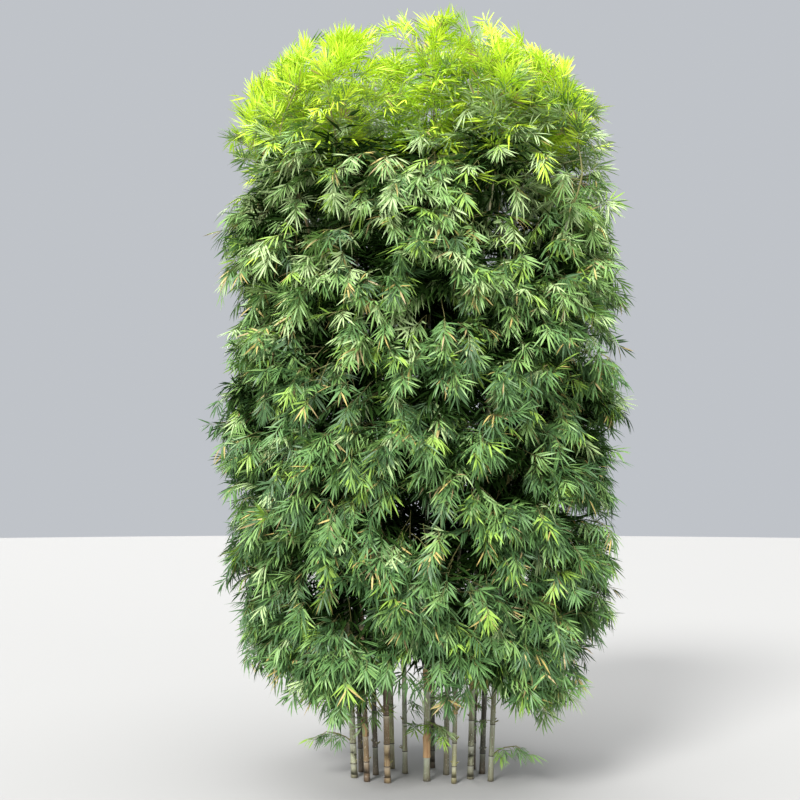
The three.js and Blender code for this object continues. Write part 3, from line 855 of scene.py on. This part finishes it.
def between(tree, value, low, high):
    """Stretches a value so that low gives 0 and high gives 1."""
    spread = node(tree, "ShaderNodeMapRange", **{"From Min": low, "From Max": high})
    tree.links.new(value, spread.inputs["Value"])
    return spread.outputs["Result"]


# Numbers of the mix node's sockets for colours
MIX_INPUTS = (6, 7)
MIX_RESULT = 2


def blend_color(tree, share, first, second):
    """Mixes two colours, each a socket or a plain colour, by a share."""
    mix = node(tree, "ShaderNodeMix", data_type="RGBA")
    tree.links.new(share, mix.inputs[0])
    for number, color in zip(MIX_INPUTS, (first, second)):
        if isinstance(color, tuple):
            mix.inputs[number].default_value = (*color, 1)
        else:
            tree.links.new(color, mix.inputs[number])
    return mix.outputs[MIX_RESULT]


def times(tree, first, second):
    product = node(tree, "ShaderNodeMath", operation="MULTIPLY")
    tree.links.new(first, product.inputs[0])
    if isinstance(second, float):
        product.inputs[1].default_value = second
    else:
        tree.links.new(second, product.inputs[1])
    return product.outputs[0]


def attribute(tree, name):
    return node(tree, "ShaderNodeAttribute", attribute_name=name).outputs["Fac"]


def paint(tree, color):
    tree.links.new(color, shader_inputs(tree)["Base Color"])


def bump(tree, height, strength, distance):
    made = node(tree, "ShaderNodeBump", Strength=strength, Distance=distance)
    tree.links.new(height, made.inputs["Height"])
    tree.links.new(made.outputs["Normal"], shader_inputs(tree)["Normal"])


SOIL_COLOR = (0.10, 0.075, 0.05)
GRIME_DARKNESS = 0.40
VEIN_STRENGTH = 0.5


def culm_material(name, clean, turned, aged, bloom, scar):
    """Bark of a culm. Each internode has its own tone, with streaks along it and patches of age.

    The joints carry dark scars with bloom under them, and soil has splashed on the foot.
    """
    material = plain_material(name, clean, roughness=0.5, specular=0.45)
    tree = material.node_tree
    streaks = noise(tree, stretch=(90, 90, 3.5))
    veins = noise(tree, stretch=(330, 330, 9), detail=3.0)
    patches = noise(tree, stretch=(14, 14, 6), detail=6.0)
    specks = noise(tree, stretch=(1, 1, 0.6), scale=150.0, detail=3.0)
    grime = tuple(GRIME_DARKNESS * c for c in aged)
    powdery = between(tree, patches, low=0.2, high=0.5)
    layers = (
        (attribute(tree, "tone"), turned),
        (between(tree, streaks, low=0.42, high=0.68), aged),
        (times(tree, between(tree, veins, low=0.5, high=0.8), VEIN_STRENGTH), grime),
        (between(tree, patches, low=0.55, high=0.70), grime),
        (times(tree, attribute(tree, "below_joint"), powdery), bloom),
        (between(tree, specks, low=0.60, high=0.70), bloom),
        (attribute(tree, "scar"), scar),
        (attribute(tree, "splash"), SOIL_COLOR),
    )
    color = clean
    for share, layer_color in layers:
        color = blend_color(tree, share, color, layer_color)
    paint(tree, color)
    bump(tree, streaks, strength=0.35, distance=0.0008)
    return material


# Each finish's clean bark, what it turns to, its streaks of age, its bloom and its scars
CULM_LOOKS = {
    "palegreen": (
        (0.470, 0.490, 0.295), (0.250, 0.290, 0.200), (0.230, 0.205, 0.125), (0.58, 0.59, 0.49),
        (0.060, 0.046, 0.030),
    ),
    "olive": (
        (0.450, 0.445, 0.200), (0.215, 0.240, 0.175), (0.210, 0.170, 0.095), (0.56, 0.56, 0.44),
        (0.050, 0.038, 0.024),
    ),
    "tan": (
        (0.660, 0.490, 0.240), (0.080, 0.056, 0.030), (0.270, 0.170, 0.090), (0.62, 0.54, 0.40),
        (0.055, 0.034, 0.020),
    ),
    "dark": (
        (0.060, 0.070, 0.050), (0.115, 0.080, 0.050), (0.085, 0.064, 0.042), (0.27, 0.29, 0.22),
        (0.018, 0.015, 0.012),
    ),
}
culm_materials = {
    finish: culm_material(f"culm {finish}", *look) for finish, look in CULM_LOOKS.items()
}

# Each colour of leaves, and the end of its slot's name. Bright and lime are young leaves on top,
# lighter than their own colour: partly their colour, partly painted light shining through them. Pale
# is a painted sheen of the sky on leaves that face up.
LEAF_LOOKS = {
    "bright": ((0.640, 0.850, 0.048), "bright"),
    "lime": ((0.580, 0.830, 0.066), "bright"),
    "spring": ((0.290, 0.470, 0.072), "green"),
    # Painted highlight: the sky's whitish sheen on leaves that face up.
    "pale": ((0.400, 0.535, 0.230), "green"),
    "fresh": ((0.195, 0.345, 0.092), "green"),
    "mid": ((0.115, 0.235, 0.068), "green"),
    "deep": ((0.054, 0.122, 0.038), "deep"),
    "straw": ((0.500, 0.395, 0.130), "bright"),
    "dry": ((0.370, 0.290, 0.130), "bright"),
}
leaf_materials = {
    name: plain_material(f"leaf {name}", color, roughness=0.44)
    for name, (color, _) in LEAF_LOOKS.items()
}
leaf_materials |= {
    # The near-black leaves inside the crown are painted shade. The bright lime ones inside the
    # plumes are painted light.
    "shade": plain_material("leaf shade", (0.017, 0.042, 0.007), roughness=0.85, specular=0.05),
    "core": plain_material("leaf core", (0.640, 0.880, 0.066), roughness=0.5, specular=0.3),
}


def twig_bark():
    """Bark of the twigs, in greener and browner patches."""
    material = plain_material("twig bark", (0.21, 0.19, 0.07), roughness=0.6)
    tree = material.node_tree
    patches = noise(tree, scale=14.0)
    paint(tree, blend_color(tree, patches, (0.13, 0.16, 0.045), (0.29, 0.24, 0.095)))
    return material


def sheath_paper():
    """Dry sheaths, with light and dark streaks along them."""
    material = plain_material("dry sheath", (0.50, 0.31, 0.13), roughness=0.7, specular=0.25)
    tree = material.node_tree
    veins = noise(tree, stretch=(140, 140, 5))
    streaks = between(tree, veins, low=0.3, high=0.75)
    paint(tree, blend_color(tree, streaks, (0.60, 0.40, 0.21), (0.36, 0.19, 0.09)))
    bump(tree, veins, strength=0.5, distance=0.001)
    return material


twig_material = twig_bark()
sheath_material = sheath_paper()
cut_material = plain_material("cut wood", (0.62, 0.56, 0.42), roughness=0.8, specular=0.2)


# Culms

# Rings round a joint: height from the joint, and the radius as a share of the culm's
JOINT_RINGS = (
    (-0.060, 1.00), (-0.020, 1.00), (-0.0045, 1.03), (-0.0030, 1.12), (-0.0012, 1.13), (0.0, 1.03),
    (0.0025, 1.06), (0.0060, 1.10), (0.0100, 1.06), (0.0180, 1.00), (0.0600, 1.00),
)
FOOT_RINGS = (0.0, 0.020, 0.045)
CULM_SIDES = 14

# Reach of the bloom under a joint, of its scar and of the soil splashed on the foot
BLOOM_FADE = 0.022
FAINTEST_BLOOM = 0.05
SCAR_MIDDLE = -0.001
SCAR_HALF_HEIGHT = 0.0025
JOINT_SLACK = 0.0005
SPLASH_HEIGHT = 0.11
SPLASH_STRENGTH = 0.7

# How far the lowest internodes of some culms have turned to their finish's second colour, from the
# foot up. The rest are drawn.
KNOWN_TONES = {
    "culm_01": (0.1, 0.2, 0.1),
    "culm_03": (1.0, 0.7, 1.0, 0.9),
    "culm_05": (0.0, 0.15, 0.75, 1.0),
    "culm_08": (0.7, 0.6, 0.2, 0.1),
    "culm_10": (1.0, 0.9, 1.0),
    "culm_11": (0.0, 0.2, 0.9, 0.7),
    "culm_12": (0.1, 0.3, 0.4),
}
USUAL_TONES = (0.2, 0.8)
TONE_BLUR = 0.3


def internode_tones(culm):
    count = len(culm.joints()) + 1
    tones = np.clip(rng.uniform(*USUAL_TONES) + rng.normal(0, TONE_BLUR, count), 0, 1)
    known = KNOWN_TONES.get(culm.name, ())
    tones[: len(known)] = known
    return tones


def culm_rings(culm):
    """Heights of a culm's rings, each with its radius as a share of the culm's."""
    rings = [(height, 1.0) for height in FOOT_RINGS]
    for joint in culm.joints():
        rings += [(joint + offset, swell) for offset, swell in JOINT_RINGS]
    rings.append((culm.head.z, 1.0))
    return rings


def culm_mesh(culm):
    """A culm as one skin drawn up ring by ring, with each ring's tone, bloom, scar and soil."""
    bm = bmesh.new()
    names = ("below_joint", "scar", "splash", "tone")
    below, scar, splash, tone = (bm.verts.layers.float.new(name) for name in names)
    joints = np.array(culm.joints())
    tones = internode_tones(culm)
    rings = culm_rings(culm)
    made = bmesh.ops.create_circle(bm, cap_ends=True, segments=CULM_SIDES, radius=1.0)
    ring_verts = made["verts"]
    edges = list({e for v in ring_verts for e in v.link_edges})
    last_centre, last_radius = Vector((0, 0, 0)), 1.0
    for place, (height, swell) in enumerate(rings):
        centre = culm.point(height)
        radius = culm.radius(height) * swell
        if place:
            grown = bmesh.ops.extrude_edge_only(bm, edges=edges)["geom"]
            ring_verts = [g for g in grown if isinstance(g, bmesh.types.BMVert)]
            grown_edges = [g for g in grown if isinstance(g, bmesh.types.BMEdge)]
            edges = [e for e in grown_edges if all(v in ring_verts for v in e.verts)]
        share = radius / last_radius
        move = (
            Matrix.Translation(centre)
            @ Matrix.Diagonal((share, share, 1, 1))
            @ Matrix.Translation(-last_centre)
        )
        bmesh.ops.transform(bm, matrix=move, verts=ring_verts)
        last_centre, last_radius = centre, radius
        offsets = height - joints
        to_joint_above = np.min(np.where(offsets <= JOINT_SLACK, -offsets, np.inf))
        under = float(np.exp(-to_joint_above / BLOOM_FADE))
        to_scar = float(np.min(np.abs(offsets - SCAR_MIDDLE)))
        own_tone = float(tones[np.sum(offsets > SCAR_MIDDLE)])
        for vert in ring_verts:
            vert[tone] = own_tone
            vert[below] = under if under > FAINTEST_BLOOM else 0.0
            vert[scar] = 1.0 if to_scar < SCAR_HALF_HEIGHT else 0.0
            vert[splash] = max(0.0, 1 - height / SPLASH_HEIGHT) * SPLASH_STRENGTH
    bmesh.ops.contextual_create(bm, geom=edges)
    bmesh.ops.recalc_face_normals(bm, faces=bm.faces)
    return finished_mesh(culm.name + "_bark", bm, smooth=True)


for culm in culms:
    show(culm_mesh(culm), culm_materials[culm.finish], f"culm_{culm.finish}", culm.name)


# Dry sheaths that still clasp some culms: culm's row, joint, length, direction that they open in
SHEATHS = (
    (7, 0, 0.14, 4.9), (7, 2, 0.13, 4.4), (2, 1, 0.10, 2.6), (4, 3, 0.16, 5.4), (11, 3, 0.12, 0.4),
    (0, 3, 0.15, 3.0), (12, 1, 0.14, 2.0), (9, 2, 0.18, 5.0), (14, 2, 0.13, 1.0), (5, 2, 0.15, 4.2),
    (10, 2, 0.10, 5.6),
)

# How far a sheath wraps either way, where it starts to narrow, and how it stands off the culm
SHEATH_WRAP = 2.75
SHEATH_TIP_WRAP = 0.12
SHEATH_NARROWS_FROM = 0.55
SHEATH_START = -0.002
SHEATH_FOOT_SWELL = 1.10
SHEATH_SWELL_FADE = 5
SHEATH_CLEARANCE = 0.0010
SHEATH_OPENING = 0.010
SHEATH_EDGE_LIFT = 0.0015
SHEATH_THICKNESS = 0.0006


def sheath_form(bm, culm, joint, length, turn):
    """A sheath: a flat grid that is wrapped round its culm and opens towards its tip."""
    grid = bmesh.ops.create_grid(bm, x_segments=12, y_segments=8, size=1.0)
    for vert in grid["verts"]:
        across, up = vert.co.x, (vert.co.y + 1) / 2
        height = joint + SHEATH_START + up * length
        narrowing = max(0, up - SHEATH_NARROWS_FROM) / (1 - SHEATH_NARROWS_FROM)
        wrap = across * lerp(SHEATH_WRAP, SHEATH_TIP_WRAP, narrowing)
        swell = lerp(SHEATH_FOOT_SWELL, 1.0, min(1, up * SHEATH_SWELL_FADE))
        lift = SHEATH_CLEARANCE + SHEATH_OPENING * up**3 + SHEATH_EDGE_LIFT * abs(across)
        reach = culm.radius(height) * swell + lift
        vert.co = culm.point(height) + heading(turn + wrap, 0) * reach
    faces = list({f for v in grid["verts"] for f in v.link_faces})
    bmesh.ops.solidify(bm, geom=faces, thickness=SHEATH_THICKNESS)


def sheaths_mesh():
    bm = bmesh.new()
    for row, joint_number, length, turn in SHEATHS:
        sheath_form(bm, culms[row], culms[row].joints()[joint_number], length, turn)
    bmesh.ops.recalc_face_normals(bm, faces=bm.faces)
    return finished_mesh("dry_sheaths", bm, smooth=True)


show(sheaths_mesh(), sheath_material, "culm_tan")


# Short stubs of cut side branches at the joints that show, each with its pale cut end
HIGHEST_STUBS = 1.1
MOST_STUBS = 3
STUB_TURN_PITCH_SIZES = ((0, 2 * math.pi), (0.4, 1.1), (0.014, 0.032), (0.0026, 0.0046))
STUB_ABOVE_JOINT = 0.006
STUB_START_SHARE = 0.5
STUB_TAPER = 0.8
STUB_SIDES = 7
CUT_THICKNESS = 0.0008
CUT_RIM_SHARE = 0.9


def add_peg(bm, start, direction, length, radius, end_radius):
    turned = direction.to_track_quat("Z", "Y").to_matrix().to_4x4()
    place = Matrix.Translation(start + direction * length / 2) @ turned
    bmesh.ops.create_cone(
        bm, cap_ends=True, segments=STUB_SIDES, radius1=radius, radius2=end_radius, depth=length,
        matrix=place,
    )


def add_stub(stub_bm, cut_bm, culm, joint):
    turn, pitch, length, radius = drawn(STUB_TURN_PITCH_SIZES)
    direction = heading(turn, pitch)
    start = culm.point(joint + STUB_ABOVE_JOINT) + direction * culm.radius(joint) * STUB_START_SHARE
    end_radius = radius * STUB_TAPER
    add_peg(stub_bm, start, direction, length, radius, end_radius)
    end = start + direction * length
    add_peg(cut_bm, end, direction, CUT_THICKNESS, radius * CUT_RIM_SHARE, end_radius)


def show_stubs():
    stub_bm = bmesh.new()
    cut_bm = bmesh.new()
    for culm in culms:
        for joint in culm.joints():
            if joint > HIGHEST_STUBS:
                break
            for _ in range(rng.integers(1, MOST_STUBS + 1)):
                add_stub(stub_bm, cut_bm, culm, joint)
    show(finished_mesh("branch_stubs", stub_bm), twig_material, "twigs")
    show(finished_mesh("stub_ends", cut_bm), cut_material, "culm_tan")


show_stubs()


# Foliage: each tier's leaves by colour, dealt out by spray

# From a height upwards, the share of the sprays in bright, lime, spring, pale, fresh, mid and deep.
# The zones under 2.2 m take more of the darker greens, partly as painted shade.
COLOR_SHARES = (
    (3.46, (0.72, 0.26, 0.00, 0.00, 0.02, 0.00, 0.00)),
    (2.96, (0.01, 0.03, 0.06, 0.48, 0.32, 0.10, 0.00)),
    (2.20, (0.00, 0.00, 0.09, 0.23, 0.42, 0.22, 0.04)),
    (1.10, (0.00, 0.00, 0.06, 0.04, 0.20, 0.37, 0.33)),
    (0.35, (0.00, 0.00, 0.06, 0.03, 0.17, 0.36, 0.38)),
    (-1.0, (0.00, 0.01, 0.10, 0.14, 0.40, 0.35, 0.00)),
)
HEIGHT_BLUR = 0.13

# The bright band on top reaches further down on some sides than on others, and less far inside,
# where the duller colours are painted shade.
BAND_WAVE = 0.10
BAND_ACROSS = 2.6
BAND_DEEP = 1.2
BAND_TURN = 3.6
BAND_INNER_RISE = 0.42

AGEING_SPRAYS = 0.13
STRAW_IN_AGEING = 0.22
DRY_IN_STRAW = 0.35


def deal_colors(roots):
    """The number of a colour in LEAF_LOOKS for every spray, brighter towards the crown's top and
    duller inside: partly young leaves on top, partly painted light on top and painted shade inside.
    """
    across, deep, heights = roots.T
    picks = np.full(len(roots), -1)
    draws = rng.uniform(0, 1, len(roots))
    wave = BAND_WAVE * np.sin(BAND_ACROSS * across + BAND_DEEP * deep + BAND_TURN)
    inward = 1 - np.clip(outline_share(roots), 0, 1)
    blurred = heights + wave - BAND_INNER_RISE * inward + rng.normal(0, HEIGHT_BLUR, len(roots))
    for lowest, shares in COLOR_SHARES:
        chosen = np.searchsorted(np.cumsum(shares)[:-1], draws)
        picks = np.where((picks < 0) & (blurred > lowest), chosen, picks)
    return picks


def show_outer_leaves(tier, growth, nodes):
    """The tier's fine leaves by colour. Those that lie deeper in the crown have the plain form."""
    rows = np.array(growth.sprays)
    slimness = PLUME_LEAF_SLIMNESS if tier == "plume" else 1.0
    widths = [slimness * width for width in LEAF_WIDTH]
    leaves = spray_leaves(rows, SPRAY_LEAVES, LEAF_LENGTH, widths)
    owner = leaves.pop("owner")
    picks = deal_colors(rows[:, :3])[owner]
    ageing = rng.uniform(0, 1, len(rows))[owner] < AGEING_SPRAYS
    turned = ageing & (rng.uniform(0, 1, len(owner)) < STRAW_IN_AGEING)
    dried = turned & (rng.uniform(0, 1, len(owner)) < DRY_IN_STRAW)
    picks[turned] = list(LEAF_LOOKS).index("straw")
    picks[dried] = list(LEAF_LOOKS).index("dry")
    inner = ((outline_share(rows[:, :3]) < INNER_SHARE) & (rows[:, 2] > INNER_FLOOR))[owner]
    for number, (name, (_, slot)) in enumerate(LEAF_LOOKS.items()):
        mine = picks == number
        if mine.any():
            forms = ((FINE_LEAF, mine & ~inner), (PLAIN_LEAF, mine & inner))
            mesh = leaf_mesh(f"leaves_{tier}_{name}", leaves, forms)
            show(mesh, leaf_materials[name], f"leaves_{slot}", *nodes)


def show_inner_leaves(tier, growth, nodes):
    """The tier's large leaves inside the crown: dark ones low down, painted shade, and light ones in
    the plumes, painted light.
    """
    for kind, sprays, slimness in (
        ("shade", growth.painted_shade_sprays, 1.0),
        ("core", growth.painted_light_sprays, CORE_LEAF_SLIMNESS),
    ):
        if not sprays:
            continue
        widths = [slimness * width for width in SHADE_LEAF_WIDTH]
        leaves = spray_leaves(
            np.array(sprays), SHADE_SPRAY_LEAVES, SHADE_LEAF_LENGTH, widths, SHADE_END_SHARE
        )
        everything = np.ones(len(leaves.pop("owner")), bool)
        mesh = leaf_mesh(f"leaves_{tier}_{kind}", leaves, ((PLAIN_LEAF, everything),))
        show(mesh, leaf_materials[kind], "leaves_deep", *nodes)


def show_tier(tier, growth, nodes):
    """The tier's limbs, with the stalk of every spray, and then its leaves."""
    for x, y, z, angle, pitch, length, _, _ in growth.sprays:
        root = Vector((x, y, z))
        growth.limb((root, root + heading(angle, pitch) * length), STALK_RADII)
    show(tube_mesh(f"twigs_{tier}", growth.limbs), twig_material, "twigs", *nodes)
    show_outer_leaves(tier, growth, nodes)
    show_inner_leaves(tier, growth, nodes)


for tier, tier_name in enumerate(TIERS):
    growth = Growth()
    nodes = [f"{tier_name}_foliage_{sector + 1}" for sector in range(SECTORS)]
    if tier_name == "middle":
        grow_inner_shade(growth)
    for sector in range(SECTORS):
        grow_side_mass(growth, tier, sector)
    if tier_name == "skirt":
        for row in LOW_BOUGH_ROWS:
            grow_low_mass(growth, row)
            nodes += [f"low_bough_{row[0]}", f"low_foliage_{row[0]}"]
        grow_foot_sprays(growth)
    show_tier(tier_name, growth, nodes)

growth = Growth()
for culm in culms:
    grow_plume(growth, culm)
show_tier("plume", growth, [culm.name.replace("culm", "plume") for culm in culms])


# Stage: pale floor, soft light and the camera

FLOOR_RADIUS = 40.0
FLOOR_DROP = 0.001
FLOOR_COLOR = (0.37, 0.365, 0.355)
SKY_COLOR = (0.90, 0.94, 1.0)
SKY_STRENGTH = 0.58

# Each sun's name, a place in its direction, its strength and its softness in degrees
LIGHTS = (
    ("high key", (-3.2, -6.2, 4.8), 4.6, 20),
    ("top light", (0.2, -1.5, 9.0), 2.4, 60),
    ("front fill", (3.5, -8.0, 2.0), 0.85, 40),
    ("rear fill", (-3.0, 8.0, 5.0), 1.2, 40),
)

# The photo's camera, with its focal length in pixels of the picture
IMAGE_SIZE = 800
FOCAL_PIXELS = 1091
SENSOR = 36.0
CAMERA_PLACE = (-0.143, -6.0, 1.5)
CAMERA_TILT = math.radians(5.2)

bm = bmesh.new()
bmesh.ops.create_circle(bm, cap_ends=True, segments=96, radius=FLOOR_RADIUS)
floor = add_object("floor", finished_mesh("floor", bm))
floor.data.materials.append(plain_material("pale floor", FLOOR_COLOR, roughness=0.9, specular=0.1))
floor.location.z = -FLOOR_DROP

scene.view_settings.view_transform = "Standard"
scene.world = bpy.data.worlds.new("soft sky")
scene.world.use_nodes = True
background = scene.world.node_tree.nodes["Background"]
background.inputs["Color"].default_value = (*SKY_COLOR, 1)
background.inputs["Strength"].default_value = SKY_STRENGTH

for name, place, strength, softness in LIGHTS:
    light = bpy.data.lights.new(name, "SUN")
    light.energy = strength
    light.angle = math.radians(softness)
    holder = add_object(name, light)
    holder.location = place
    holder.rotation_euler = Vector(place).to_track_quat("Z", "Y").to_euler()

camera_data = bpy.data.cameras.new("view")
camera_data.sensor_width = SENSOR
camera_data.lens = FOCAL_PIXELS / IMAGE_SIZE * SENSOR
camera = add_object("view", camera_data)
camera.location = CAMERA_PLACE
camera.rotation_euler = (math.pi / 2 + CAMERA_TILT, 0, 0)
scene.camera = camera
